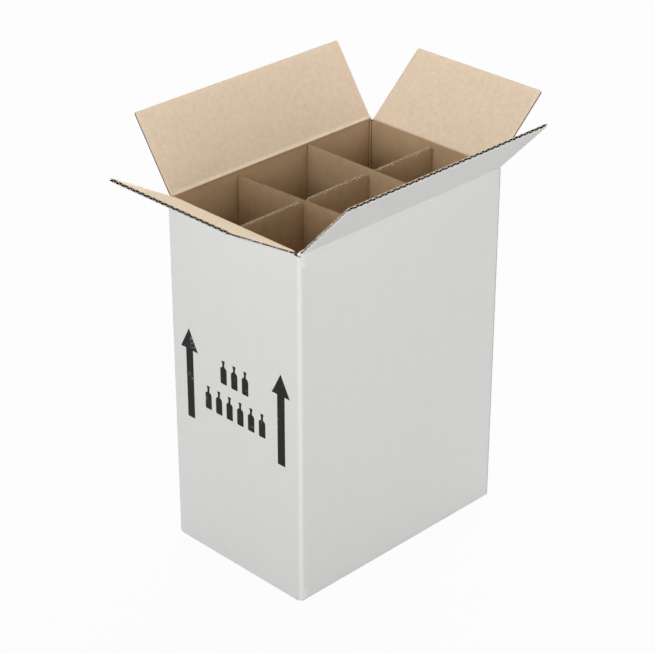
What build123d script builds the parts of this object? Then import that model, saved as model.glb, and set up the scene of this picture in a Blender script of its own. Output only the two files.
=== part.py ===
"""Corrugated shipping carton for six bottles, open, with its slotted divider grid inside.

Millimetres, +Z up, origin on the underside at the middle of the footprint. The long walls face -Y and +Y,
the end walls face -X and +X. The carton is a regular slotted one: a single sheet of single wall board, white
outside and brown inside, folded round four corners, glued along one of them and closed underneath by four
flaps. The four top flaps stand open, each at its own angle.
"""
from build123d import *
import math
import os

# Carton, outside sizes
carton_length = 260.0
carton_width = 168.0
crease_height = 356.0          # from the floor to the crease of the long top flaps
corner_radius = 4.0            # outside of the four upright folds
corner_flat = 2.0              # leg of the crushed strip inside each upright fold

# Board of the carton: two liners with a fluted medium between them
board = 3.6
liner = 0.45
medium = 0.45
flute_pitch = 7.4
flute_glue = 0.09              # share of a pitch where a flute tip is stuck to its liner
flute_turns = (0.2, 0.36)      # shares of a pitch where the outline of a channel turns, on its way down
edge_margin = 1.0              # solid board kept at each side edge of a flap or divider

# Creases between the walls and the top flaps
crease_gap = 0.25              # each board edge stays this far from its hinge line
crease_shift = 1.2             # long flaps hinge this far inside the board's middle, end flaps as far outside
layer_clearance = 0.3          # between two layers of board that lie on each other
fold_in = 90.0                 # a closed flap, from upright
fold_out = 130.0               # a flap laid right back, from upright
fold_spare = 1.0               # degrees of room left beyond each limit

# Slots between neighbouring flaps
long_flap_inset = 3.0          # from the end of the carton to the side edge of a long flap
end_flap_inset = 6.5           # from the side of the carton to the side edge of an end flap
slot_drop = 1.0                # the slots are cut this far past the lower crease
meeting_gap = 0.8              # between the two long flaps when they are closed

# How far each top flap leans out of upright, in degrees
front_angle = 43.0
back_angle = 34.0
left_angle = 59.5
right_angle = 48.0

# Underside
bottom_radius = 4.0            # outside of the folds under the walls
post_bottom = 2.0              # the upright corners end this far above the floor
bottom_seam = 1.2              # the seam under the carton lies this far behind the middle
bottom_band = 12.0             # height of the strip of wall made with each bottom flap
end_fold_gap = 0.3             # between the floor and the folds under the end walls
end_fold_board = 2.6           # the board is crushed to this in those folds, beside the long bottom flaps
end_fold_radius = 2.0

# Glued joint in the front right corner
tab_reach = 32.0
tab_thickness = 3.0            # the tab is crushed where it is glued
tab_end = 14.0                 # bare wall above and below the tab
tab_slope = 8.0                # the tab narrows by this much at its free edge
seam_offset = 3.1              # from the end of the carton to the open seam
seam_width = 0.6

# Divider grid
divider_board = 2.8
divider_liner = 0.4
divider_medium = 0.4
divider_pitch = 6.5
divider_turns = (0.36,)
divider_fit = 0.6              # between a divider's end and the wall
divider_rest = 0.3             # between the grid and the bottom flaps
divider_slot = 3.6             # width of a slot
slot_end_gap = 0.3             # each slot stops this far short of the middle
mouth_width = 12.0             # sloping mouth of the slots in the long divider
mouth_depth = 5.0
divider_corner = 2.0           # cut off the upper corners of the long divider
divider_clearance = 0.4        # between a divider and a closed flap
cross_skew = (3.5, 0.0)        # degrees that each cross divider stands askew
cross_raised = (False, True)   # a raised one stands up to the closed long flaps, between the end flaps' tips

# Sizes that follow
long_hinge = board / 2 + crease_shift                      # from the outer face to the hinge line
end_hinge = board / 2 - crease_shift
end_crease_height = crease_height + 2 * crease_shift - board - layer_clearance
slot_height = end_crease_height - slot_drop
blank_top = crease_height + carton_width / 2 - long_hinge - meeting_gap / 2
long_span = carton_length - 2 * long_flap_inset
end_span = carton_width - 2 * end_flap_inset
inner_length = carton_length - 2 * board
inner_width = carton_width - 2 * board
lower_layer_top = board
inner_layer_bottom = lower_layer_top + layer_clearance
inner_layer_top = inner_layer_bottom + board
divider_bottom = inner_layer_top + divider_rest
divider_top = end_crease_height + end_hinge - board - divider_clearance
divider_middle = (divider_bottom + divider_top) / 2
raised_divider_top = crease_height + long_hinge - board - divider_clearance

# Each wall has a frame of its own: x along the wall, y inward from its outer face, z up
front = Location((0, -carton_width / 2, 0))
back = Location((0, carton_width / 2, 0), (0, 0, 180))
left = Location((-carton_length / 2, 0, 0), (0, 0, -90))
right = Location((carton_length / 2, 0, 0), (0, 0, 90))


def wall_prism(points, span):
    """Extrude an outline given in a wall's y and z along the wall, centred on it."""
    outline = Plane.YZ * make_face(Polyline(*points, close=True))
    return extrude(outline, span / 2, both=True)


def crease_slopes(hinge):
    """How far the crushed board edge slopes away from its hinge line, on the outer and on the inner side."""
    outer_angle = math.radians((180 - fold_out - fold_spare) / 2)
    inner_angle = math.radians((180 - fold_in - fold_spare) / 2)
    return hinge / math.tan(outer_angle), (board - hinge) / math.tan(inner_angle)


def wall_top(hinge, height, span):
    """Upper strip of a wall, from slot_height to the sharp edge at its crease, with its slopes."""
    outer_drop, inner_drop = crease_slopes(hinge)
    edge = height - crease_gap
    foot = slot_height - bottom_band
    points = [(0, foot), (board, foot), (board, edge - inner_drop), (hinge, edge), (0, edge - outer_drop)]
    return wall_prism(points, span)


def long_wall_bottom(reach):
    """Lower strip of a long wall, folded inward into its bottom flap, which lies on the floor."""
    points = [(0, bottom_band), (0, 0), (reach, 0), (reach, lower_layer_top), (board, lower_layer_top),
              (board, bottom_band)]
    strip = wall_prism(points, long_span)
    outer_fold = strip.edges().filter_by(Axis.X).sort_by_distance((0, 0, 0))[0]
    return fillet(outer_fold, bottom_radius)


def end_wall_bottom(reach):
    """Lower strip of an end wall: its fold hangs down beside the long bottom flaps, its own flap lies on them."""
    points = [(0, bottom_band), (0, end_fold_gap), (end_fold_board, end_fold_gap),
              (end_fold_board, inner_layer_bottom), (reach, inner_layer_bottom), (reach, inner_layer_top),
              (board, inner_layer_top), (board, bottom_band)]
    strip = wall_prism(points, end_span)
    outer_fold = strip.edges().filter_by(Axis.X).sort_by_distance((0, 0, 0))[0]
    return fillet(outer_fold, end_fold_radius)


def fluted_section(span, thickness, face_paper, wave_paper, pitch, turns):
    """Cut across a fluted board, in x and y: its outline and the open channels on both sides of the wave."""
    room = thickness / 2 - face_paper
    swing = room - wave_paper / 2
    down = [(flute_glue, room)]
    down += [(phase, swing * math.cos(2 * math.pi * phase) + wave_paper / 2) for phase in turns]
    half_outline = [(phase - 0.5, height) for phase, height in down]
    outline = half_outline + [(-along, height) for along, height in reversed(half_outline)]
    count = math.floor((span - 2 * edge_margin) / pitch * 2 - 1)
    start = -(count - 1) * pitch / 4
    channels = []
    for index in range(count):
        side = 1 if index % 2 else -1
        middle = start + index * pitch / 2
        points = [Vector(middle + along * pitch, thickness / 2 + side * height) for along, height in outline]
        channels.append(Wire.make_polygon(points, close=True))
    corners = [Vector(-span / 2, 0), Vector(span / 2, 0), Vector(span / 2, thickness), Vector(-span / 2, thickness)]
    return Face(Wire.make_polygon(corners, close=True), channels)


def top_flap(hinge, height, span, lean, wall):
    """One top flap: fluted board, sloped at its crease, leaning out from its wall."""
    outer_drop, inner_drop = crease_slopes(hinge)
    reach = blank_top - height
    sheet = extrude(fluted_section(span, board, liner, medium, flute_pitch, flute_turns), reach)
    points = [(hinge, crease_gap), (board, crease_gap + inner_drop), (board, reach), (0, reach),
              (0, crease_gap + outer_drop)]
    flap = sheet & wall_prism(points, span)
    hinge_line = Location((0, hinge, height))
    return wall * hinge_line * Rot(X=lean) * Location((0, -hinge, 0)) * flap


def wall_ring(low, high):
    """The four walls with their upright folds, between two heights."""
    outside = RectangleRounded(carton_length, carton_width, corner_radius)
    inside = Rectangle(inner_length, inner_width)
    inside = chamfer(inside.vertices(), corner_flat)
    return Pos(0, 0, low) * extrude(outside - inside, high - low)


def corner_posts(low, high):
    """The upright folds alone, where the flaps are slotted away from them."""
    posts = wall_ring(low, high)
    height = high - low
    for wall, span in ((front, long_span), (back, long_span), (left, end_span), (right, end_span)):
        posts -= wall * Pos(0, board / 2, low + height / 2) * Box(span, board, height)
    return posts


def glue_tab():
    """Tab that turns in from the right end wall and is stuck to the inside of the front wall."""
    inner_x = inner_length / 2
    inner_y = -inner_width / 2
    low, high = tab_end, slot_height - tab_end
    outline = Polyline((inner_x, low), (inner_x, high), (inner_x - tab_reach, high - tab_slope),
                       (inner_x - tab_reach, low + tab_slope), close=True)
    tab = extrude(Plane.XZ * make_face(outline), -tab_thickness)
    return Pos(0, inner_y, 0) * tab


def seam_cut():
    """Open seam beside the glued corner: the front wall ends here and the fold of the tab goes on."""
    seam_x = carton_length / 2 - seam_offset
    height = crease_height - bottom_radius
    return Pos(seam_x, -carton_width / 2 + board / 2, bottom_radius + height / 2) * Box(seam_width, board, height)


def carton_body():
    """Walls, upright folds, glued tab and closed bottom flaps: one folded sheet."""
    foot = slot_height - bottom_band
    long_hinge_top = wall_top(long_hinge, crease_height, long_span)
    end_hinge_top = wall_top(end_hinge, end_crease_height, end_span)
    half_seam = meeting_gap / 2
    front_reach = carton_width / 2 + bottom_seam - half_seam
    back_reach = carton_width / 2 - bottom_seam - half_seam
    end_reach = blank_top - end_crease_height
    body = wall_ring(bottom_band, foot)
    body += corner_posts(post_bottom, bottom_band)
    body += corner_posts(foot, slot_height)
    body += [front * long_hinge_top, back * long_hinge_top, left * end_hinge_top, right * end_hinge_top]
    body += [front * long_wall_bottom(front_reach), back * long_wall_bottom(back_reach)]
    body += [wall * end_wall_bottom(end_reach) for wall in (left, right)]
    body -= seam_cut()
    return body + glue_tab()


def divider_blank(reach):
    """A fluted divider without its slots, standing along X."""
    section = fluted_section(reach, divider_board, divider_liner, divider_medium, divider_pitch, divider_turns)
    return Pos(0, -divider_board / 2, divider_bottom) * extrude(section, divider_top - divider_bottom)


def cross_places():
    """Where the cross dividers stand along X: they make three equal rows of cells."""
    return (-inner_length / 6, inner_length / 6)


def long_divider():
    """Divider along the carton, slotted from above, with sloping mouths."""
    half = inner_length / 2 - divider_fit
    divider = divider_blank(2 * half)
    for side in (-1, 1):
        corner = Polyline((side * half, divider_top - divider_corner), (side * half, divider_top),
                          (side * (half - divider_corner), divider_top), close=True)
        divider -= extrude(Plane.XZ * make_face(corner), divider_board, both=True)
    slot_floor = divider_middle - slot_end_gap
    for place in cross_places():
        outline = Polyline((place - divider_slot / 2, slot_floor), (place + divider_slot / 2, slot_floor),
                           (place + divider_slot / 2, divider_top - mouth_depth),
                           (place + mouth_width / 2, divider_top), (place - mouth_width / 2, divider_top),
                           (place - divider_slot / 2, divider_top - mouth_depth), close=True)
        divider -= extrude(Plane.XZ * make_face(outline), divider_board, both=True)
    return divider


def cross_divider(place, skew, raised):
    """Divider across the carton, slotted from below and pushed down over the long one."""
    divider = divider_blank(inner_width - 2 * divider_fit)
    slot_roof = divider_middle + slot_end_gap
    height = slot_roof - divider_bottom
    divider -= Pos(0, 0, divider_bottom + height / 2) * Box(divider_slot, 2 * divider_board, height)
    lift = raised_divider_top - divider_top if raised else 0
    return Pos(place, 0, lift) * Rot(Z=90 + skew) * divider


def main():
    os.makedirs("parts", exist_ok=True)
    nodes = {
        "carton_body": carton_body(),
        "long_flap_front": top_flap(long_hinge, crease_height, long_span, front_angle, front),
        "long_flap_back": top_flap(long_hinge, crease_height, long_span, back_angle, back),
        "end_flap_left": top_flap(end_hinge, end_crease_height, end_span, left_angle, left),
        "end_flap_right": top_flap(end_hinge, end_crease_height, end_span, right_angle, right),
        "long_divider": long_divider(),
    }
    for number, (place, skew, raised) in enumerate(zip(cross_places(), cross_skew, cross_raised), start=1):
        nodes[f"cross_divider_{number}"] = cross_divider(place, skew, raised)
    for name, shape in nodes.items():
        export_step(shape, f"parts/{name}.step")


main()
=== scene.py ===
"""Looks of the corrugated bottle carton: fluted flaps and dividers, soft creases, paper finishes and print.

Sizes are in millimetres, as in the part's source, and become metres where a mesh is placed. Each wall has a
frame of its own: x along the wall, y inward from its outer face, z up. A board's own frame has x across the
flutes, y through the board from its middle, with the inner liner on +y, and z along the flutes.
"""

import math

import bmesh
import bpy
import numpy as np
from mathutils import Matrix, Vector


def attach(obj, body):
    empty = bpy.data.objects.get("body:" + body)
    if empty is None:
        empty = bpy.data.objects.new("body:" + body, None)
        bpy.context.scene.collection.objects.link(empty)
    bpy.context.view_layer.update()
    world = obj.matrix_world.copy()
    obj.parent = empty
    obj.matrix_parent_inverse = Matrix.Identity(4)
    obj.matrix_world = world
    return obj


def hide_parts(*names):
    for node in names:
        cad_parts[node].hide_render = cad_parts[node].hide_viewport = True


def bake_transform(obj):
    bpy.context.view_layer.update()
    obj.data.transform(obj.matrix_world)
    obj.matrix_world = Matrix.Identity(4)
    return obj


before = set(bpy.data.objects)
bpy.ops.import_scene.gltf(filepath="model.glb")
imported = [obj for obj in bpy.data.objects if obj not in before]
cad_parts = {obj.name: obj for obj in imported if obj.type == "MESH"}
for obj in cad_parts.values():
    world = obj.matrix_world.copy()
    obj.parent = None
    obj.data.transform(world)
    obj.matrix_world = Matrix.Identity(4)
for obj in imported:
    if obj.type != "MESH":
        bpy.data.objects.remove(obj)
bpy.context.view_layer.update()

MM = 0.001

# Carton, outside sizes
LENGTH = 260.0
WIDTH = 168.0
LONG_CREASE = 356.0
END_CREASE = 354.5
FOLD_RADIUS = 4.0

# Carton board
BOARD = 3.6
LINER = 0.45
MEDIUM = 0.5
PITCH = 7.4

# Top flaps
LONG_HINGE = 3.0
END_HINGE = 0.6
LONG_SPAN = 254.0
END_SPAN = 155.0
FLAP_TOP = 436.6
FLAP_START = 6.7               # the fluted board begins this far above its hinge line
BEND = 4.0                     # the board bends within this distance of its hinge line
CREASE_REACH = 7.2
CREASE_PROUD = 0.04            # the creased strip covers the board on each side by this much
CREASE_CRUSH = 1.8             # half width of the groove that the scoring wheel presses in
CREASE_GROOVE = 0.25           # share of the depth on the far side of the hinge that the groove takes away
CREASE_RIDGE = 1.0             # the inner liner bulges this far along the crease
RIDGE_HALF = 1.3               # half width of that bulge
EDGE_CRUSH = 4.0               # a slotting knife crushes the board this far in from a side edge
FLAP_SIDE_LEFT = 0.5           # share of the thickness left at a crushed side edge
FLAP_TIP_LEFT = 0.85           # and at the tip
FLAP_CORNER = 1.2              # cut off each upper corner of a flap, along the tip
FLAP_CORNER_DROP = 1.6         # and down the side

# Dividers
DIVIDER_BOARD = 2.8
DIVIDER_LINER = 0.4
DIVIDER_MEDIUM = 0.4
DIVIDER_PITCH = 6.5
DIVIDER_LOW = 7.8
DIVIDER_HIGH = 351.1
LONG_DIVIDER = 251.6
CROSS_DIVIDER = 159.6
DIVIDER_SLOT = 3.6
SLOT_END_GAP = 0.3
MOUTH = 4.2                    # how far a slot's mouth opens on each side
MOUTH_DEPTH = 5.0
DIVIDER_CORNER = 2.0
DIVIDER_SIDE_LEFT = 0.8        # share of a divider's thickness left at its side edges
DIVIDER_CRUSH = 2.0
LONG_TIP_LEFT = 0.6            # and at the upper edges, which are torn thin
CROSS_TIP_LEFT = 0.4
CROSS_PLACES = (-42.13, 42.13)
CROSS_SKEW = (3.5, 0.0)
CROSS_LIFT = (0.0, 3.9)

# For each flap: its wall's turn about Z and distance from the middle, then the flap's hinge depth, crease
# height, span and lean out of upright
FLAPS = {
    "long_flap_front": (0, WIDTH / 2, LONG_HINGE, LONG_CREASE, LONG_SPAN, 43.0),
    "long_flap_back": (180, WIDTH / 2, LONG_HINGE, LONG_CREASE, LONG_SPAN, 34.0),
    "end_flap_left": (-90, LENGTH / 2, END_HINGE, END_CREASE, END_SPAN, 59.5),
    "end_flap_right": (90, LENGTH / 2, END_HINGE, END_CREASE, END_SPAN, 48.0),
}


# Nodes and materials

def add(tree, kind, inputs=None, **settings):
    """Add a node, set its properties, then feed its inputs from values, nodes or sockets."""
    made = tree.nodes.new(kind)
    for name, value in settings.items():
        setattr(made, name, value)
    for key, value in (inputs or {}).items():
        if isinstance(value, bpy.types.Node):
            value = value.outputs[0]
        if isinstance(value, bpy.types.NodeSocket):
            tree.links.new(value, made.inputs[key])
        else:
            made.inputs[key].default_value = value
    return made


def linear(code):
    """The linear colour of an sRGB hex value."""
    parts = [int(code[i:i + 2], 16) / 255 for i in (1, 3, 5)]
    return [c / 12.92 if c <= 0.04045 else ((c + 0.055) / 1.055) ** 2.4 for c in parts] + [1.0]


def material(name):
    """A new material with its tree and its one surface shader."""
    made = bpy.data.materials.new(name)
    made.use_nodes = True
    tree = made.node_tree
    return made, tree, tree.nodes["Principled BSDF"]


def ramp(tree, factor, stops):
    """A colour ramp with the given stops, as pairs of place and colour."""
    made = add(tree, "ShaderNodeValToRGB", {"Fac": factor})
    steps = made.color_ramp.elements
    while len(steps) < len(stops):
        steps.new(0.5)
    for step, (place, colour) in zip(steps, stops):
        step.position = place
        step.color = linear(colour)
    return made


def flute_lines(tree, pitch):
    """Height of the faint ridges that the flutes press into a liner, running up the board."""
    where = add(tree, "ShaderNodeTexCoord")
    place = add(tree, "ShaderNodeSeparateXYZ", {0: where.outputs["Object"]})
    facing = add(tree, "ShaderNodeSeparateXYZ", {0: where.outputs["Normal"]})
    across = add(tree, "ShaderNodeMath", {0: facing.outputs["X"]}, operation="ABSOLUTE")
    end_wall = add(tree, "ShaderNodeMath", {0: across, 1: 0.1}, operation="GREATER_THAN")
    run = add(tree, "ShaderNodeMix", {"Factor": end_wall, 2: place.outputs["X"], 3: place.outputs["Y"]})
    turns = add(tree, "ShaderNodeMath", {0: run, 1: 2 * math.pi / (pitch * MM)}, operation="MULTIPLY")
    return add(tree, "ShaderNodeMath", {0: turns}, operation="COSINE")


def paper(name, dark, middle, light, roughness, lines, cloud_mm=14.0, grain_mm=0.9):
    """Pressed paper: soft clouds of uneven fibre, a fine grain, and ridges where the flutes press through."""
    made, tree, shader = material(name)
    where = add(tree, "ShaderNodeTexCoord").outputs["Object"]
    clouds = add(tree, "ShaderNodeTexNoise", {"Vector": where, "Scale": 1 / (cloud_mm * MM), "Detail": 5.0,
                                              "Roughness": 0.62})
    grain = add(tree, "ShaderNodeTexNoise", {"Vector": where, "Scale": 1 / (grain_mm * MM), "Detail": 3.0,
                                             "Roughness": 0.7})
    mixed = add(tree, "ShaderNodeMix", {"Factor": 0.4, 2: clouds, 3: grain})
    colour = ramp(tree, mixed, [(0.3, dark), (0.5, middle), (0.7, light)])
    tree.links.new(colour.outputs["Color"], shader.inputs["Base Color"])
    ridges = flute_lines(tree, PITCH)
    fibre = add(tree, "ShaderNodeBump", {"Height": grain, "Strength": 0.25, "Distance": 0.06 * MM})
    pressed = add(tree, "ShaderNodeBump", {"Height": ridges, "Strength": 1.0, "Distance": lines * MM,
                                           "Normal": fibre})
    tree.links.new(pressed.outputs["Normal"], shader.inputs["Normal"])
    shader.inputs["Roughness"].default_value = roughness
    shader.inputs["Specular IOR Level"].default_value = 0.3
    return made


# White mottled liner, bleached fibre laid over brown and pressed: matt, even, with the faintest clouding
white_liner = paper("white_mottled_liner", "#dfdfdd", "#e1e1df", "#e3e3e1", 0.72, 0.02)

# Brown kraft liner, unbleached and machine-made: matt, tan, with small fibre clouds and faint flute lines
kraft_liner = paper("brown_kraft_liner", "#d1bca2", "#d9c6ae", "#e0cfb9", 0.85, 0.06, cloud_mm=5.0)

# The same liner on the walls' inside, the carton's floor and the corner beads: matt, painted a deeper brown
# as the shade down in the cells
kraft_painted_shade = paper("kraft_liner_painted_shade", "#bfa482", "#c6ac8a", "#cdb493", 0.88, 0.015, cloud_mm=12.0)

# Cut paper: the raw edge of liners and medium, rougher and paler along its torn fibre
cut_paper = paper("cut_paper", "#cbbda6", "#dacdb8", "#eae1d1", 0.9, 0.0, cloud_mm=3.0, grain_mm=0.4)

# Fluting medium, the recycled paper of the wave: unbleached, soft and dull, painted near black as the shade
# deep in its channels
fluting_painted_shade = paper("fluting_medium_painted_shade", "#38291a", "#43321f", "#503d28", 0.95, 0.0)

# Brown testliner of the dividers, made of recycled paper: matt, painted a little darker than the carton's
# inside as the shade down in the cells
divider_liner_painted_shade = paper("brown_testliner_painted_shade", "#b29a7a", "#bba283", "#c3ab8c", 0.88, 0.015, cloud_mm=8.0)

# Sheared edge of a divider, cut through all three papers at once: dull and light brown
divider_edge = paper("sheared_divider_edge", "#a38d70", "#ad9679", "#b7a083", 0.9, 0.0, cloud_mm=2.0,
                     grain_mm=0.7)

# Two thin dark brown lines along each corner bead, where the scoring wheel pressed: painted shade of the
# narrow folds beside the bead, still matt
fold_lines_painted_shade = paper("kraft_fold_lines_painted_shade", "#5d4a33", "#6d573e", "#7b654a", 0.8, 0.0, cloud_mm=5.0)

# Torn fibre, bleached and loose: nearly white, fully matt
torn_fibre = paper("torn_paper_fibre", "#ece5da", "#f3ede4", "#f9f5ee", 0.95, 0.0, cloud_mm=2.0, grain_mm=0.5)

# Torn edge of the long divider, unbleached fibre pulled loose: light tan, fully matt
brown_fibre = paper("torn_brown_fibre", "#d3bd9b", "#decaaa", "#e8d7bb", 0.95, 0.0, cloud_mm=2.0,
                    grain_mm=0.5)


def flexo_ink():
    """Black water-based ink from a rubber plate: matt, thin, with pinholes where it missed the paper."""
    made, tree, shader = material("flexo_ink")
    where = add(tree, "ShaderNodeTexCoord").outputs["Object"]
    stretched = add(tree, "ShaderNodeMapping", {"Vector": where, "Scale": (1.0, 1.0, 0.55)})
    holes = add(tree, "ShaderNodeTexNoise", {"Vector": stretched, "Scale": 1 / (1.1 * MM), "Detail": 2.0})
    patches = add(tree, "ShaderNodeTexNoise", {"Vector": where, "Scale": 1 / (16.0 * MM), "Detail": 2.0})
    both = add(tree, "ShaderNodeMath", {0: holes, 1: patches}, operation="MULTIPLY")
    colour = ramp(tree, both, [(0.30, "#1c1b1a"), (0.38, "#282726"), (0.45, "#8f8e8b")])
    tree.links.new(colour.outputs["Color"], shader.inputs["Base Color"])
    shader.inputs["Roughness"].default_value = 0.6
    shader.inputs["Specular IOR Level"].default_value = 0.15
    return made


ink = flexo_ink()


# Fluted board, made by geometry nodes: two liners and the wave between them, each a closed sheet

def declare(tree, entries):
    """Give a tree its output and its named inputs, and return the identifiers of the inputs."""
    tree.interface.new_socket(name="Geometry", in_out="OUTPUT", socket_type="NodeSocketGeometry")
    found = {}
    for name, kind in entries:
        found[name] = tree.interface.new_socket(name=name, in_out="INPUT", socket_type=kind).identifier
    return found


def paper_sheet_tree():
    """One closed sheet of a board, flat or waved, between its edges."""
    tree = bpy.data.node_groups.new("paper_sheet", "GeometryNodeTree")
    sizes = [(name, "NodeSocketFloat") for name in ("Left", "Right", "Low", "High", "Thickness", "Offset",
                                                    "Swing", "Pitch")]
    declare(tree, sizes + [("Columns", "NodeSocketInt"), ("Rows", "NodeSocketInt")])
    given = add(tree, "NodeGroupInput").outputs
    block = add(tree, "GeometryNodeMeshCube", {"Size": (1.0, 1.0, 1.0), "Vertices X": given["Columns"],
                                               "Vertices Y": 2, "Vertices Z": given["Rows"]})
    place = add(tree, "ShaderNodeSeparateXYZ", {0: add(tree, "GeometryNodeInputPosition")}).outputs
    along = add(tree, "ShaderNodeMapRange", {"Value": place["X"], "From Min": -0.5, "From Max": 0.5,
                                             "To Min": given["Left"], "To Max": given["Right"]})
    up = add(tree, "ShaderNodeMapRange", {"Value": place["Z"], "From Min": -0.5, "From Max": 0.5,
                                          "To Min": given["Low"], "To Max": given["High"]})
    waves = add(tree, "ShaderNodeMath", {0: along, 1: given["Pitch"]}, operation="DIVIDE")
    turned = add(tree, "ShaderNodeMath", {0: waves, 1: 2 * math.pi}, operation="MULTIPLY")
    crest = add(tree, "ShaderNodeMath", {0: turned}, operation="COSINE")
    through = add(tree, "ShaderNodeMath", {0: place["Y"], 1: given["Thickness"], 2: given["Offset"]},
                  operation="MULTIPLY_ADD")
    waved = add(tree, "ShaderNodeMath", {0: crest, 1: given["Swing"], 2: through}, operation="MULTIPLY_ADD")
    moved = add(tree, "ShaderNodeCombineXYZ", {"X": along, "Y": waved, "Z": up})
    laid = add(tree, "GeometryNodeSetPosition", {"Geometry": block, "Position": moved})
    add(tree, "NodeGroupOutput", {0: laid})
    return tree


def fluted_board_tree(sheet):
    """Board cut to a panel, whose two upper corners may be cut off along a slope."""
    tree = bpy.data.node_groups.new("fluted_board", "GeometryNodeTree")
    numbers = ("Left", "Right", "Low", "High", "Board", "Liner", "Medium", "Pitch", "Left cut", "Left drop",
               "Right cut", "Right drop", "Side left", "Tip left", "Crush")
    names = declare(tree, [(name, "NodeSocketFloat") for name in numbers]
                    + [("Rows", "NodeSocketInt"), ("Samples", "NodeSocketFloat")]
                    + [(name, "NodeSocketMaterial") for name in ("Outer paper", "Inner paper", "Wave paper",
                                                                 "Outer edge paper", "Edge paper")])
    given = add(tree, "NodeGroupInput").outputs
    span = add(tree, "ShaderNodeMath", {0: given["Right"], 1: given["Left"]}, operation="SUBTRACT")
    flutes = add(tree, "ShaderNodeMath", {0: span, 1: given["Pitch"]}, operation="DIVIDE")
    columns = add(tree, "ShaderNodeMath", {0: flutes, 1: given["Samples"], 2: 2.0}, operation="MULTIPLY_ADD")
    half = add(tree, "ShaderNodeMath", {0: given["Board"], 1: 0.5}, operation="MULTIPLY")
    half_liner = add(tree, "ShaderNodeMath", {0: given["Liner"], 1: 0.5}, operation="MULTIPLY")
    offset = add(tree, "ShaderNodeMath", {0: half, 1: half_liner}, operation="SUBTRACT")
    other = add(tree, "ShaderNodeMath", {0: offset, 1: -1.0}, operation="MULTIPLY")
    room = add(tree, "ShaderNodeMath", {0: half, 1: given["Liner"]}, operation="SUBTRACT")
    # A little less than half the medium is taken off, so that the wave's tips stick in the liners
    swing_in_room = add(tree, "ShaderNodeMath", {0: given["Medium"], 1: -0.45, 2: room},
                        operation="MULTIPLY_ADD")
    shared = {name: given[name] for name in ("Left", "Right", "Low", "High", "Pitch", "Rows")}
    sheets = []
    for thickness, place, swing in ((given["Liner"], other, 0.0), (given["Liner"], offset, 0.0),
                                    (given["Medium"], 0.0, swing_in_room)):
        inputs = dict(shared, Thickness=thickness, Offset=place, Swing=swing, Columns=columns)
        made = tree.nodes.new("GeometryNodeGroup")
        made.node_tree = sheet
        for key, value in inputs.items():
            if isinstance(value, (float, int)):
                made.inputs[key].default_value = value
            else:
                source = value.outputs[0] if isinstance(value, bpy.types.Node) else value
                tree.links.new(source, made.inputs[key])
        sheets.append(made)
    facing = add(tree, "ShaderNodeSeparateXYZ", {0: add(tree, "GeometryNodeInputNormal")}).outputs
    through = add(tree, "ShaderNodeMath", {0: facing["Y"]}, operation="ABSOLUTE")
    cut_end = add(tree, "ShaderNodeMath", {0: through, 1: 0.3}, operation="LESS_THAN")
    joined = add(tree, "GeometryNodeJoinGeometry")
    for made, face, side, edge in ((sheets[0], "Outer paper", -1.0, "Outer edge paper"),
                                   (sheets[1], "Inner paper", 1.0, "Edge paper"),
                                   (sheets[2], "Wave paper", 1.0, "Edge paper")):
        marked = add(tree, "GeometryNodeSetMaterial", {"Geometry": made, "Material": given["Wave paper"]})
        turned = add(tree, "ShaderNodeMath", {0: facing["Y"], 1: side}, operation="MULTIPLY")
        flat = add(tree, "ShaderNodeMath", {0: turned, 1: 0.5}, operation="GREATER_THAN")
        marked = add(tree, "GeometryNodeSetMaterial", {"Geometry": marked, "Selection": flat,
                                                       "Material": given[face]})
        marked = add(tree, "GeometryNodeSetMaterial", {"Geometry": marked, "Selection": cut_end,
                                                       "Material": given[edge]})
        tree.links.new(marked.outputs[0], joined.inputs[0])
    cut = crush_edges(tree, cut_corners(tree, joined, given), given)
    add(tree, "NodeGroupOutput", {0: add(tree, "GeometryNodeRealizeInstances", {"Geometry": cut})})
    return tree, names


def cut_corners(tree, joined, given):
    """Squeeze the top of a board between sloping cuts, the last row of faces as deep as the deeper cut."""
    place = add(tree, "ShaderNodeSeparateXYZ", {0: add(tree, "GeometryNodeInputPosition")}).outputs
    deeper = add(tree, "ShaderNodeMath", {0: given["Left drop"], 1: given["Right drop"]}, operation="MAXIMUM")
    share = add(tree, "ShaderNodeMapRange", {"Value": place["Z"], "From Min": given["Low"],
                                             "From Max": given["High"]})
    steps = add(tree, "ShaderNodeMath", {0: given["Rows"], 1: 1.0}, operation="SUBTRACT")
    row = add(tree, "ShaderNodeMath", {0: share, 1: steps}, operation="MULTIPLY")
    before = add(tree, "ShaderNodeMath", {0: steps, 1: 1.0}, operation="SUBTRACT")
    lower = add(tree, "ShaderNodeMath", {0: row, 1: before}, operation="DIVIDE")
    shoulder = add(tree, "ShaderNodeMath", {0: given["High"], 1: deeper}, operation="SUBTRACT")
    plain = add(tree, "ShaderNodeMapRange", {"Value": lower, "To Min": given["Low"], "To Max": shoulder})
    past = add(tree, "ShaderNodeMath", {0: before, 1: 0.5}, operation="ADD")
    top = add(tree, "ShaderNodeMath", {0: row, 1: past}, operation="GREATER_THAN")
    height = add(tree, "ShaderNodeMix", {"Factor": top, 2: plain, 3: given["High"]})
    edges = []
    for side in ("Left", "Right"):
        start = add(tree, "ShaderNodeMath", {0: given["High"], 1: given[f"{side} drop"]},
                    operation="SUBTRACT")
        slope = add(tree, "ShaderNodeMapRange", {"Value": height, "From Min": start,
                                                 "From Max": given["High"], "To Min": 0.0,
                                                 "To Max": given[f"{side} cut"]})
        step = "ADD" if side == "Left" else "SUBTRACT"
        edges.append(add(tree, "ShaderNodeMath", {0: given[side], 1: slope}, operation=step))
    along = add(tree, "ShaderNodeMapRange", {"Value": place["X"], "From Min": given["Left"],
                                             "From Max": given["Right"], "To Min": edges[0],
                                             "To Max": edges[1]})
    moved = add(tree, "ShaderNodeCombineXYZ", {"X": along, "Y": place["Y"], "Z": height})
    return add(tree, "GeometryNodeSetPosition", {"Geometry": joined, "Position": moved})


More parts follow.
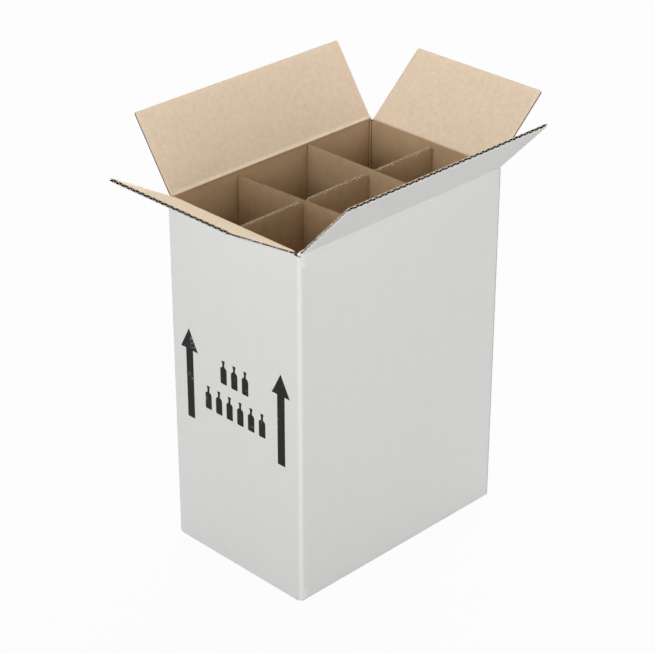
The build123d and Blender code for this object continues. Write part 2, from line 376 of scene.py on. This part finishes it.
def crush_edges(tree, board, given):
    """Press a board thinner towards its side edges and at its top edge, as knives leave it."""
    place = add(tree, "ShaderNodeSeparateXYZ", {0: add(tree, "GeometryNodeInputPosition")}).outputs
    from_left = add(tree, "ShaderNodeMath", {0: place["X"], 1: given["Left"]}, operation="SUBTRACT")
    from_right = add(tree, "ShaderNodeMath", {0: given["Right"], 1: place["X"]}, operation="SUBTRACT")
    nearer = add(tree, "ShaderNodeMath", {0: from_left, 1: from_right}, operation="MINIMUM")
    side = add(tree, "ShaderNodeMapRange", {"Value": nearer, "From Min": 0.0, "From Max": given["Crush"],
                                            "To Min": given["Side left"], "To Max": 1.0},
               interpolation_type="SMOOTHSTEP")
    under = add(tree, "ShaderNodeMath", {0: given["High"], 1: 0.01}, operation="SUBTRACT")
    top = add(tree, "ShaderNodeMath", {0: place["Z"], 1: under}, operation="GREATER_THAN")
    tip = add(tree, "ShaderNodeMix", {"Factor": top, 2: 1.0, 3: given["Tip left"]})
    share = add(tree, "ShaderNodeMath", {0: side, 1: tip}, operation="MULTIPLY")
    depth = add(tree, "ShaderNodeMath", {0: place["Y"], 1: share}, operation="MULTIPLY")
    moved = add(tree, "ShaderNodeCombineXYZ", {"X": place["X"], "Y": depth, "Z": place["Z"]})
    return add(tree, "GeometryNodeSetPosition", {"Geometry": board, "Position": moved})


board_tree, board_inputs = fluted_board_tree(paper_sheet_tree())


def fluted_panel(left, right, low, high, **other):
    """A plain mesh of one panel of board, in millimetres, in the board's own frame."""
    values = {"Left": left, "Right": right, "Low": low, "High": high, "Board": BOARD, "Liner": LINER,
              "Medium": MEDIUM, "Pitch": PITCH, "Left cut": 0.0, "Left drop": 0.5, "Right cut": 0.0,
              "Right drop": 0.5, "Side left": FLAP_SIDE_LEFT, "Tip left": FLAP_TIP_LEFT,
              "Crush": EDGE_CRUSH, "Rows": 10, "Samples": 12.0, "Outer paper": white_liner,
              "Inner paper": kraft_liner, "Wave paper": fluting_painted_shade, "Outer edge paper": white_liner,
              "Edge paper": cut_paper}
    values.update({name.replace("_", " ").capitalize(): value for name, value in other.items()})
    return grown(board_tree, board_inputs, values)


def grown(tree, names, values):
    """The plain mesh that a tree of geometry nodes makes from named values."""
    holder = bpy.data.objects.new("maker", bpy.data.meshes.new("maker"))
    bpy.context.scene.collection.objects.link(holder)
    made = holder.modifiers.new("maker", "NODES")
    made.node_group = tree
    for name, value in values.items():
        made[names[name]] = value
    ready = holder.evaluated_get(bpy.context.evaluated_depsgraph_get())
    mesh = bpy.data.meshes.new_from_object(ready)
    empty_mesh = holder.data
    bpy.data.objects.remove(holder)
    bpy.data.meshes.remove(empty_mesh)
    return mesh


def shred_tree():
    """Torn fibre ends along a line: small pointed shards, each turned, moved and sized by chance."""
    tree = bpy.data.node_groups.new("paper_shreds", "GeometryNodeTree")
    names = declare(tree, [("Start", "NodeSocketVector"), ("End", "NodeSocketVector"),
                           ("Count", "NodeSocketInt"), ("Spread", "NodeSocketVector"),
                           ("Length", "NodeSocketFloat"), ("Width", "NodeSocketFloat"),
                           ("Seed", "NodeSocketInt"), ("Paper", "NodeSocketMaterial")])
    given = add(tree, "NodeGroupInput").outputs
    line = add(tree, "GeometryNodeMeshLine", {"Count": given["Count"], "Start Location": given["Start"],
                                              "Offset": given["End"]}, mode="END_POINTS")
    other_way = add(tree, "ShaderNodeVectorMath", {0: given["Spread"], 1: (-1.0, -1.0, -1.0)},
                    operation="MULTIPLY")
    moved = add(tree, "FunctionNodeRandomValue", {0: other_way, 1: given["Spread"], "Seed": given["Seed"]},
                data_type="FLOAT_VECTOR")
    placed = add(tree, "GeometryNodeSetPosition", {"Geometry": line, "Offset": moved})
    shard = add(tree, "GeometryNodeMeshCone", {"Vertices": 5, "Radius Top": 0.0,
                                               "Radius Bottom": given["Width"], "Depth": given["Length"]})
    turned = add(tree, "FunctionNodeRandomValue", {0: (-1.3, -1.3, -3.1), 1: (1.3, 1.3, 3.1),
                                                   "Seed": given["Seed"]}, data_type="FLOAT_VECTOR")
    sized = add(tree, "FunctionNodeRandomValue", {0: (0.5, 0.5, 0.4), 1: (1.5, 1.1, 1.2),
                                                  "Seed": given["Seed"]}, data_type="FLOAT_VECTOR")
    strewn = add(tree, "GeometryNodeInstanceOnPoints", {"Points": placed, "Instance": shard,
                                                        "Rotation": turned, "Scale": sized})
    whole = add(tree, "GeometryNodeRealizeInstances", {"Geometry": strewn})
    marked = add(tree, "GeometryNodeSetMaterial", {"Geometry": whole, "Material": given["Paper"]})
    add(tree, "NodeGroupOutput", {0: marked})
    return tree, names


shreds, shred_inputs = shred_tree()


def torn_line(start, end, count, spread, length, width, seed, fibre=torn_fibre):
    """The plain mesh of shreds of paper along a line."""
    values = {"Start": start, "End": end, "Count": count, "Spread": spread, "Length": length,
              "Width": width, "Seed": seed, "Paper": fibre}
    return grown(shreds, shred_inputs, values)


# Meshes and pieces

def joined_mesh(meshes):
    """One mesh from several, with their materials kept."""
    papers = []
    for mesh in meshes:
        papers += [paper_used for paper_used in mesh.materials if paper_used not in papers]
    bm = bmesh.new()
    for mesh in meshes:
        start = len(bm.faces)
        bm.from_mesh(mesh)
        bm.faces.ensure_lookup_table()
        for face in bm.faces[start:]:
            face.material_index = papers.index(mesh.materials[face.material_index])
        bpy.data.meshes.remove(mesh)
    made = bpy.data.meshes.new("joined")
    bm.to_mesh(made)
    bm.free()
    for paper_used in papers:
        made.materials.append(paper_used)
    return made


def move_points(mesh, change):
    """Move a mesh's points by a function of an array of their places."""
    places = np.empty(len(mesh.vertices) * 3)
    mesh.vertices.foreach_get("co", places)
    places = change(places.reshape(-1, 3))
    mesh.vertices.foreach_set("co", places.ravel())
    mesh.update()


def piece(name, mesh, place=None, smooth=35.0):
    """Make an object of a mesh in millimetres, with its place put into the mesh in metres."""
    if place is not None:
        mesh.transform(place)
    mesh.transform(Matrix.Scale(MM, 4))
    mesh.name = name
    mesh.shade_smooth()
    mesh.set_sharp_from_angle(angle=math.radians(smooth))
    made = bpy.data.objects.new(name, mesh)
    bpy.context.scene.collection.objects.link(made)
    return made


def wall_frame(turn, half):
    """From a wall's own frame to the carton's."""
    return Matrix.Rotation(math.radians(turn), 4, "Z") @ Matrix.Translation((0, -half, 0))


def crease_frame(flap):
    """From an upright frame on a flap's hinge line to the carton's."""
    turn, half, hinge, crease, _, _ = FLAPS[flap]
    return wall_frame(turn, half) @ Matrix.Translation((0, hinge, crease))


def flap_frame(flap):
    """From a frame on a flap's hinge line that leans out with the flap to the carton's."""
    lean = FLAPS[flap][-1]
    return crease_frame(flap) @ Matrix.Rotation(math.radians(lean), 4, "X")


# Walls: the folded sheet, with the gentle bow that a filled stack leaves in it

LONG_BOW = 0.9
END_BOW = 0.5
BOW_DEPTH = 8.0                # the bow has died away this far inside a wall's outer face
BOW_FADE = 4.0                 # the depth over which it does
RIPPLE = 0.25                  # share by which the bow comes and goes down a wall
RIPPLE_MM = 47.0
GRID = 9.0                     # the walls are cut into faces of about this size
WHITE_EDGE = 1.2               # a cut through the board looks white this far in from its outer face
POST_REACH = 8.0               # the upright corners reach this far in from the outer faces
WALL_REACH = 9.0               # faces within this distance of an outer face belong to that wall
FLOOR_TOP = BOARD * 2 + 1      # just above the two layers of closed bottom flaps


def bowed(places):
    """Bulge the four walls outward between their folds, floor and creases."""
    x, y, z = places.T
    rise = np.sin(np.pi * np.clip(z / (LONG_CREASE - 2 * CREASE_REACH), 0, 1))
    wave = rise * (1 + RIPPLE * np.sin(z / RIPPLE_MM))
    near_long = np.clip((np.abs(y) - (WIDTH / 2 - BOW_DEPTH)) / BOW_FADE, 0, 1)
    near_end = np.clip((np.abs(x) - (LENGTH / 2 - BOW_DEPTH)) / BOW_FADE, 0, 1)
    long_out = LONG_BOW * wave * np.cos(np.pi * x / LENGTH) ** 2 * near_long * np.sign(y)
    end_out = END_BOW * wave * np.cos(np.pi * y / WIDTH) ** 2 * near_end * np.sign(x)
    return np.stack([x + end_out, y + long_out, z], axis=1)


def paper_side(centre, normal):
    """Which paper shows on a face of the sheet: 0 white outside, 1 brown inside painted with the cells'
    shade, 2 cut edge, 3 dark fluting painted as shade.
    """
    x, y, z = centre
    fold_x = LENGTH / 2 - FOLD_RADIUS
    fold_y = WIDTH / 2 - FOLD_RADIUS
    outward = Vector((math.copysign(abs(x) > fold_x - 0.01, x), math.copysign(abs(y) > fold_y - 0.01, y),
                      -float(z < FOLD_RADIUS)))
    past_fold = Vector((max(abs(x) - fold_x, 0), max(abs(y) - fold_y, 0), max(FOLD_RADIUS - z, 0)))
    if past_fold.length > FOLD_RADIUS - 0.15 and normal.dot(outward) > 0.3:
        return 0
    if z < FLOOR_TOP and normal.z > 0.5:
        return 1
    if max(abs(x) - LENGTH / 2, abs(y) - WIDTH / 2) > -WHITE_EDGE:
        return 0
    at_post = abs(x) > LENGTH / 2 - POST_REACH and abs(y) > WIDTH / 2 - POST_REACH
    # the tops of the upright corners, sunk in the gap between the flaps, are painted with the dark fluting as
    # shade
    if z > END_CREASE - 3 and abs(normal.z) > 0.9:
        return 3 if at_post else 2
    inward = Vector((-math.copysign(abs(x) > LENGTH / 2 - WALL_REACH, x),
                     -math.copysign(abs(y) > WIDTH / 2 - WALL_REACH, y), 0))
    return 1 if normal.dot(inward) > 0.3 and abs(normal.z) < 0.9 else 2


def carton_walls():
    """The CAD sheet cut into a fine grid, coloured by its side of the board and bowed."""
    bm = bmesh.new()
    bm.from_mesh(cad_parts["carton_body"].data)
    bmesh.ops.scale(bm, vec=Vector((1, 1, 1)) / MM, verts=bm.verts)
    bmesh.ops.remove_doubles(bm, verts=bm.verts, dist=0.001)
    bmesh.ops.dissolve_limit(bm, angle_limit=0.005, verts=bm.verts, edges=bm.edges)
    for axis, low, high in ((0, -LENGTH / 2, LENGTH / 2), (1, -WIDTH / 2, WIDTH / 2), (2, 0, LONG_CREASE)):
        count = round((high - low) / GRID)
        direction = Vector((axis == 0, axis == 1, axis == 2))
        places = [low + (high - low) * step / count for step in range(1, count)]
        if axis < 2:
            places += [low + WHITE_EDGE, high - WHITE_EDGE]
        for place in places:
            bmesh.ops.bisect_plane(bm, geom=bm.verts[:] + bm.edges[:] + bm.faces[:], dist=0.001,
                                   plane_co=direction * place, plane_no=direction)
    for face in bm.faces:
        face.material_index = paper_side(face.calc_center_median(), face.normal)
    mesh = bpy.data.meshes.new("walls")
    bm.to_mesh(mesh)
    bm.free()
    for used in (white_liner, kraft_painted_shade, cut_paper, fluting_painted_shade):
        mesh.materials.append(used)
    move_points(mesh, bowed)
    return mesh


walls = piece("carton_walls", carton_walls(), smooth=30.0)
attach(walls, "carton")
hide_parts("carton_body")


# Top flaps, each with its soft crease

def crease_skins(hinge, s, crushed):
    """Depths of the outer and inner skin from the hinge line, at a height along the strip."""
    groove = math.exp(-(s / CREASE_CRUSH) ** 2)
    ridge = CREASE_RIDGE * math.exp(-(s / RIDGE_HALF) ** 2)
    outer = -hinge * (1 - CREASE_GROOVE * groove * (hinge > BOARD / 2))
    inner = (BOARD - hinge) * (1 - CREASE_GROOVE * groove * (hinge < BOARD / 2)) + ridge
    middle = BOARD / 2 - hinge
    return [middle + (depth - middle) * crushed for depth in (outer, inner)]


def crease_strip(flap):
    """The board across a crease, as one closed strip that turns smoothly about its hinge line."""
    _, _, hinge, _, span, lean = FLAPS[flap]
    near = [0, 0.4, 0.8, 1.4, 2.0, 2.8, EDGE_CRUSH]
    inward = [span / 2 - EDGE_CRUSH - i * (span - 2 * EDGE_CRUSH) / 30 for i in range(1, 30)]
    columns = [span / 2 - a for a in near] + inward + [a - span / 2 for a in reversed(near)]
    steps = [CREASE_REACH * (i / 20 - 1) for i in range(41)]
    count = len(steps)
    layers = (0.0, 0.16, 0.84, 1.0)             # both sides of the two liners, as shares of the depth
    painted_shade_ends = -0.2 * RIDGE_HALF         # the walls' painted shade, their darker liner, stops just below the ridge
    bm = bmesh.new()
    sheets = []
    for along in sorted(columns):
        edge = min((span / 2 - abs(along)) / EDGE_CRUSH, 1)
        crushed = FLAP_SIDE_LEFT + (1 - FLAP_SIDE_LEFT) * edge * edge * (3 - 2 * edge)
        grid = []
        for s in steps:
            share = min(max((s + BEND) / (2 * BEND), 0), 1)
            angle = math.radians(lean) * share * share * (3 - 2 * share)
            outer, inner = crease_skins(hinge, s, crushed)
            outer -= CREASE_PROUD
            inner += CREASE_PROUD
            row = []
            for layer in layers:
                depth = outer + (inner - outer) * layer
                row.append((along, depth * math.cos(angle) - s * math.sin(angle),
                            depth * math.sin(angle) + s * math.cos(angle)))
            grid.append(row)
        sheets.append(grid)
    loop = [(i, 0) for i in range(count)] + [(count - 1, 1), (count - 1, 2)]
    loop += [(i, 3) for i in reversed(range(count))] + [(0, 2), (0, 1)]
    rows = [{key: bm.verts.new(grid[key[0]][key[1]]) for key in loop} for grid in sheets]
    for first, second in zip(rows, rows[1:]):
        for (i, a), (j, b) in zip(loop, loop[1:] + loop[:1]):
            face = bm.faces.new((first[i, a], second[i, a], second[j, b], first[j, b]))
            inside = 4 if steps[i] < painted_shade_ends else 1
            face.material_index = 0 if a == b == 0 else inside if a == b == 3 else 2
    for grid, row in ((sheets[0], rows[0]), (sheets[-1], rows[-1])):
        for i in range(1, count - 1):
            row.update({(i, a): bm.verts.new(grid[i][a]) for a in (1, 2)})
        for i in range(count - 1):
            for a in range(3):
                face = bm.faces.new((row[i, a], row[i + 1, a], row[i + 1, a + 1], row[i, a + 1]))
                # the middle of each end cap is a flat sheet of the dark fluting, painted as the shade of the
                # flute holes
                face.material_index = (0, 3, 2)[a]
    bmesh.ops.recalc_face_normals(bm, faces=bm.faces)
    mesh = bpy.data.meshes.new("crease")
    bm.to_mesh(mesh)
    bm.free()
    for used in (white_liner, kraft_liner, cut_paper, fluting_painted_shade, kraft_painted_shade):
        mesh.materials.append(used)
    return mesh


for flap, (_, _, hinge, crease, span, _) in FLAPS.items():
    board = fluted_panel(-span / 2, span / 2, FLAP_START, FLAP_TOP - crease, left_cut=FLAP_CORNER,
                         left_drop=FLAP_CORNER_DROP, right_cut=FLAP_CORNER, right_drop=FLAP_CORNER_DROP)
    mid_board = flap_frame(flap) @ Matrix.Translation((0, BOARD / 2 - hinge, 0))
    panel = piece(flap + "_board", board, mid_board)
    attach(panel, flap)
    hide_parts(flap)
    strip = piece(flap + "_crease", crease_strip(flap), crease_frame(flap))
    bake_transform(strip)


# Dividers

def divider_panel(left, right, low, high, left_cut=(0.0, 0.5), right_cut=(0.0, 0.5), tip=1.0,
                  edge=divider_edge):
    """One panel of a divider between two heights, with its upper corners cut as far as given."""
    return fluted_panel(left, right, low, high, board=DIVIDER_BOARD, liner=DIVIDER_LINER,
                        medium=DIVIDER_MEDIUM, pitch=DIVIDER_PITCH, left_cut=left_cut[0],
                        left_drop=left_cut[1], right_cut=right_cut[0], right_drop=right_cut[1],
                        rows=6, samples=8.0, tip_left=tip, side_left=DIVIDER_SIDE_LEFT,
                        crush=DIVIDER_CRUSH, outer_paper=divider_liner_painted_shade, inner_paper=divider_liner_painted_shade,
                        outer_edge_paper=edge, edge_paper=edge)


MIDDLE = (DIVIDER_LOW + DIVIDER_HIGH) / 2


def long_divider():
    """The divider along the carton: slots from above, with sloping mouths."""
    half = LONG_DIVIDER / 2
    gap = DIVIDER_SLOT / 2
    floor = MIDDLE - SLOT_END_GAP
    corner = (DIVIDER_CORNER, DIVIDER_CORNER)
    mouth = (MOUTH, MOUTH_DEPTH)
    torn_top = (LONG_TIP_LEFT, brown_fibre)
    first, second = CROSS_PLACES
    return joined_mesh([
        divider_panel(-half, half, DIVIDER_LOW, floor),
        divider_panel(-half, first - gap, floor, DIVIDER_HIGH, corner, mouth, *torn_top),
        divider_panel(first + gap, second - gap, floor, DIVIDER_HIGH, mouth, mouth, *torn_top),
        divider_panel(second + gap, half, floor, DIVIDER_HIGH, mouth, corner, *torn_top),
    ])


def cross_divider():
    """A divider across the carton: one slot from below."""
    half = CROSS_DIVIDER / 2
    gap = DIVIDER_SLOT / 2
    roof = MIDDLE + SLOT_END_GAP
    square = (0.0, MOUTH_DEPTH)                 # no corner cut off, and a last row of faces this deep
    return joined_mesh([
        divider_panel(-half, -gap, DIVIDER_LOW, roof),
        divider_panel(gap, half, DIVIDER_LOW, roof),
        divider_panel(-half, half, roof, DIVIDER_HIGH, square, square, CROSS_TIP_LEFT),
    ])


along = piece("long_divider_board", long_divider())
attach(along, "carton")
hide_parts("long_divider")
for number, (place, skew, lift) in enumerate(zip(CROSS_PLACES, CROSS_SKEW, CROSS_LIFT), start=1):
    stand = Matrix.Translation((place, 0, lift)) @ Matrix.Rotation(math.radians(90 + skew), 4, "Z")
    across = piece(f"cross_divider_{number}_board", cross_divider(), stand)
    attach(across, "carton")
    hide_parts(f"cross_divider_{number}")


# Torn fibre on the long divider's upper edge, and a tuft where the slot at the front corner was torn

DIVIDER_FRINGE_HIGH = DIVIDER_HIGH - 1.4        # the shreds stay under the closed end flaps
DIVIDER_FRINGE_Y = -1.1
FRINGE_RUNS = (
    (-LONG_DIVIDER / 2 + 4, CROSS_PLACES[0] - 6, 13, 3),
    (CROSS_PLACES[0] + 6, CROSS_PLACES[1] - 6, 12, 5),
    (CROSS_PLACES[1] + 6, LONG_DIVIDER / 2 - 4, 13, 8),
)

torn = []
for start, end, count, seed in FRINGE_RUNS:
    first = (start, DIVIDER_FRINGE_Y, DIVIDER_FRINGE_HIGH)
    last = (end, DIVIDER_FRINGE_Y, DIVIDER_FRINGE_HIGH)
    torn.append(torn_line(first, last, count, (3.0, 0.3, 0.2), 1.3, 1.0, seed, brown_fibre))
fringe = piece("long_divider_fringe", joined_mesh(torn))
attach(fringe, "carton")

tuft_foot = (-LENGTH / 2 + 1.4, -WIDTH / 2 + 1.6, END_CREASE + 0.3)
tuft_tip = (-LENGTH / 2 + 4.2, -WIDTH / 2 + 1.8, END_CREASE + 2.0)
tuft = piece("corner_tuft", torn_line(tuft_foot, tuft_tip, 24, (0.5, 0.5, 0.4), 2.2, 0.75, 2))
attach(tuft, "carton")


# Torn fibre down the two flap edges that meet at the front corner, where the knife had gone blunt

for flap, way, count, seed in (("long_flap_front", -1, 40, 4), ("end_flap_left", 1, 18, 6)):
    _, _, hinge, crease, span, _ = FLAPS[flap]
    edge = way * (span / 2 - 0.2)
    depth = BOARD / 2 - hinge - 0.4
    foot = (edge, depth, CREASE_REACH + 1)
    tip = (edge, depth, FLAP_TOP - crease - 4)
    frayed = torn_line(foot, tip, count, (0.3, 0.9, 1.4), 1.9, 0.6, seed)
    fringe = piece(flap + "_fringe", frayed, flap_frame(flap))
    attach(fringe, flap)


# Upright folds inside: the scored liner stands out as a bead between two thin lines painted dark as shade

BEAD_LOW = BOARD * 2 + 0.6
BEAD_HIGH = END_CREASE - 1.2
BEAD_IN = BOARD + 1.0          # from each outer face to the middle of a bead
BEAD_PARTS = (
    (0.0, 0.9, 0.7, kraft_painted_shade),
    (-1.3, 0.55, 0.12, fold_lines_painted_shade),
    (1.3, 0.55, 0.12, fold_lines_painted_shade),
)


def corner_bead(middle, half_width, rise, paper_used):
    """A rounded strip up an inner corner, half sunk in the board."""
    rows = 24
    around = 12
    turns = [2 * math.pi * i / around for i in range(around)]
    bm = bmesh.new()
    rings = []
    for row in range(rows + 1):
        z = BEAD_LOW + (BEAD_HIGH - BEAD_LOW) * row / rows
        ring = [(middle + half_width * math.cos(a), rise * math.sin(a), z) for a in turns]
        rings.append([bm.verts.new(place) for place in ring])
    for first, second in zip(rings, rings[1:]):
        for i in range(around):
            j = (i + 1) % around
            bm.faces.new((first[i], first[j], second[j], second[i]))
    bm.faces.new(rings[0][::-1])
    bm.faces.new(rings[-1])
    bmesh.ops.recalc_face_normals(bm, faces=bm.faces)
    mesh = bpy.data.meshes.new("bead")
    bm.to_mesh(mesh)
    bm.free()
    mesh.materials.append(paper_used)
    return mesh


beads = []
for side, way in ((-1, -1), (-1, 1), (1, -1), (1, 1)):
    corner = Matrix.Translation((side * (LENGTH / 2 - BEAD_IN), way * (WIDTH / 2 - BEAD_IN), 0))
    facing = corner @ Matrix.Rotation(-side * way * math.pi / 4, 4, "Z")
    for part in BEAD_PARTS:
        bead = corner_bead(*part)
        bead.transform(facing)
        beads.append(bead)
folds = piece("corner_beads", joined_mesh(beads), smooth=60.0)
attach(folds, "carton")


# Print on the left end wall: two upright arrows and rows of plain bottles between them

INK_PROUD = 0.05
INK_THICK = 0.12
ARROW_PLACE = 60.0
ARROW_FOOT = 138.5
ARROW_TIP = 232.0
ARROW_HEAD = 21.7
ARROW_HEAD_HALF = 11.4
ARROW_SHAFT_HALF = 4.7
BOTTLE_HEIGHT = 24.0
BOTTLE_HALF = 4.2
BOTTLE_PITCH = 14.2
BOTTLE_ROWS = ((3, 192.0), (6, 157.5))


def arrow_outline(middle):
    """An upright arrow with a plain head."""
    neck = ARROW_TIP - ARROW_HEAD
    half = [(ARROW_SHAFT_HALF, ARROW_FOOT), (ARROW_SHAFT_HALF, neck), (ARROW_HEAD_HALF, neck)]
    return ([(middle + a, z) for a, z in half] + [(middle, ARROW_TIP)]
            + [(middle - a, z) for a, z in reversed(half)])


def bottle_outline(middle, foot):
    """A plain bottle seen from the side: round foot, upright body, curved shoulder, neck and lip."""
    neck = 1.4
    shoulder = foot + 0.58 * BOTTLE_HEIGHT
    top = foot + BOTTLE_HEIGHT
    turn = [i / 6 * math.pi / 2 for i in range(7)]
    side = [(BOTTLE_HALF - 0.8, foot), (BOTTLE_HALF, foot + 0.8)]
    side += [(neck + (BOTTLE_HALF - neck) * math.cos(a), shoulder + 3.6 * math.sin(a)) for a in turn]
    side += [(neck, top - 2.2), (neck + 0.5, top - 2.2), (neck + 0.5, top)]
    return [(middle + a, z) for a, z in side] + [(middle - a, z) for a, z in reversed(side)]


def printed(outlines):
    """Ink laid on the left wall: thin closed shapes cut to the walls' grid, so that they bow with it."""
    bm = bmesh.new()
    skin = -LENGTH / 2 - INK_PROUD
    for outline in outlines:
        bm.faces.new([bm.verts.new((skin, -y, z)) for y, z in outline])
    bm.normal_update()
    for face in bm.faces:
        if face.normal.x > 0:
            face.normal_flip()
    for axis, low, high in ((1, -WIDTH / 2, WIDTH / 2), (2, 0, LONG_CREASE)):
        count = round((high - low) / GRID)
        direction = Vector((0, axis == 1, axis == 2))
        for step in range(1, count):
            cut = direction * (low + (high - low) * step / count)
            bmesh.ops.bisect_plane(bm, geom=bm.verts[:] + bm.edges[:] + bm.faces[:], dist=0.001,
                                   plane_co=cut, plane_no=direction)
    raised = bmesh.ops.extrude_face_region(bm, geom=bm.faces[:])
    fresh = [part for part in raised["geom"] if isinstance(part, bmesh.types.BMVert)]
    bmesh.ops.translate(bm, vec=(INK_THICK, 0, 0), verts=fresh)
    bmesh.ops.recalc_face_normals(bm, faces=bm.faces)
    mesh = bpy.data.meshes.new("print")
    bm.to_mesh(mesh)
    bm.free()
    mesh.materials.append(ink)
    move_points(mesh, bowed)
    return mesh


bottles = []
for count, foot in BOTTLE_ROWS:
    bottles += [bottle_outline(BOTTLE_PITCH * (i - (count - 1) / 2), foot) for i in range(count)]
for name, outlines in (("printed_arrows", [arrow_outline(-ARROW_PLACE), arrow_outline(ARROW_PLACE)]),
                       ("printed_bottles", bottles)):
    mark = piece(name, printed(outlines))
    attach(mark, "carton")


# Floor, light and camera

FLOOR_REACH = 30.0
FLOOR_DROP = 0.0003            # the floor lies this far under the carton
FLOOR_GLOW = 0.96              # to the camera this share of the floor is plain white, the rest shows shadow
SKY_LEVEL = 0.2                # the sky's light on matt surfaces; to the camera it is plain white


def seen_directly(tree):
    """One for rays from the camera and for reflections, zero for light that falls on matt surfaces."""
    rays = add(tree, "ShaderNodeLightPath").outputs
    return add(tree, "ShaderNodeMath", {0: rays["Is Camera Ray"], 1: rays["Is Glossy Ray"]},
               operation="MAXIMUM")


def floor_finish():
    """Matt white studio floor: nearly white to the camera, with a soft shadow left in it."""
    made, tree, shader = material("studio_floor")
    shader.inputs["Base Color"].default_value = linear("#b8b8b8")
    shader.inputs["Roughness"].default_value = 0.9
    shader.inputs["Specular IOR Level"].default_value = 0.1
    glow = add(tree, "ShaderNodeEmission", {"Color": (1, 1, 1, 1), "Strength": 1.0})
    share = add(tree, "ShaderNodeMath", {0: seen_directly(tree), 1: FLOOR_GLOW}, operation="MULTIPLY")
    mixed = add(tree, "ShaderNodeMixShader", {"Fac": share, 1: shader, 2: glow})
    tree.links.new(mixed.outputs[0], tree.nodes["Material Output"].inputs["Surface"])
    return made


floor_mesh = bpy.data.meshes.new("floor")
corners = [(x * FLOOR_REACH, y * FLOOR_REACH, -FLOOR_DROP) for x, y in ((-1, -1), (1, -1), (1, 1), (-1, 1))]
floor_mesh.from_pydata(corners, [], [(0, 1, 2, 3)])
floor_mesh.materials.append(floor_finish())
floor = bpy.data.objects.new("floor", floor_mesh)
bpy.context.scene.collection.objects.link(floor)

world = bpy.data.worlds.new("studio")
bpy.context.scene.world = world
world.use_nodes = True
sky = world.node_tree
sky.nodes.clear()
strength = add(sky, "ShaderNodeMix", {"Factor": seen_directly(sky), 2: SKY_LEVEL, 3: 1.0})
light = add(sky, "ShaderNodeBackground", {"Color": (1, 1, 1, 1), "Strength": strength})
add(sky, "ShaderNodeOutputWorld", {"Surface": light})


def soft_lamp(name, place, target, size, watts):
    """A large square lamp that faces a point."""
    data = bpy.data.lights.new(name, "AREA")
    data.shape = "SQUARE"
    data.size = size
    data.energy = watts
    lamp = bpy.data.objects.new(name, data)
    lamp.location = place
    lamp.rotation_euler = (Vector(target) - Vector(place)).to_track_quat("-Z", "Y").to_euler()
    bpy.context.scene.collection.objects.link(lamp)


soft_lamp("top", (0.8, 0.45, 2.25), (0, 0, 0.35), 1.4, 37)
soft_lamp("left", (-2.6, -0.4, 0.7), (0, 0, 0.2), 2.0, 45)
soft_lamp("upper left", (-2.3, -0.4, 1.8), (0, 0, 0.2), 1.6, 5)
soft_lamp("right", (0.2, -2.8, 0.8), (0, 0, 0.2), 2.0, 41)
soft_lamp("behind", (2.3, 2.3, 0.45), (0, 0, 0.2), 0.8, 34)

camera = bpy.data.cameras.new("camera")
camera.lens = 117.93
camera.sensor_width = 36.0
camera_stand = bpy.data.objects.new("camera", camera)
camera_stand.location = (-1.2499, -1.2386, 1.1556)
camera_stand.rotation_euler = (math.radians(90 - 28.339), 0, math.radians(45.036 - 90))
bpy.context.scene.collection.objects.link(camera_stand)
bpy.context.scene.camera = camera_stand
bpy.context.scene.view_settings.view_transform = "Standard"
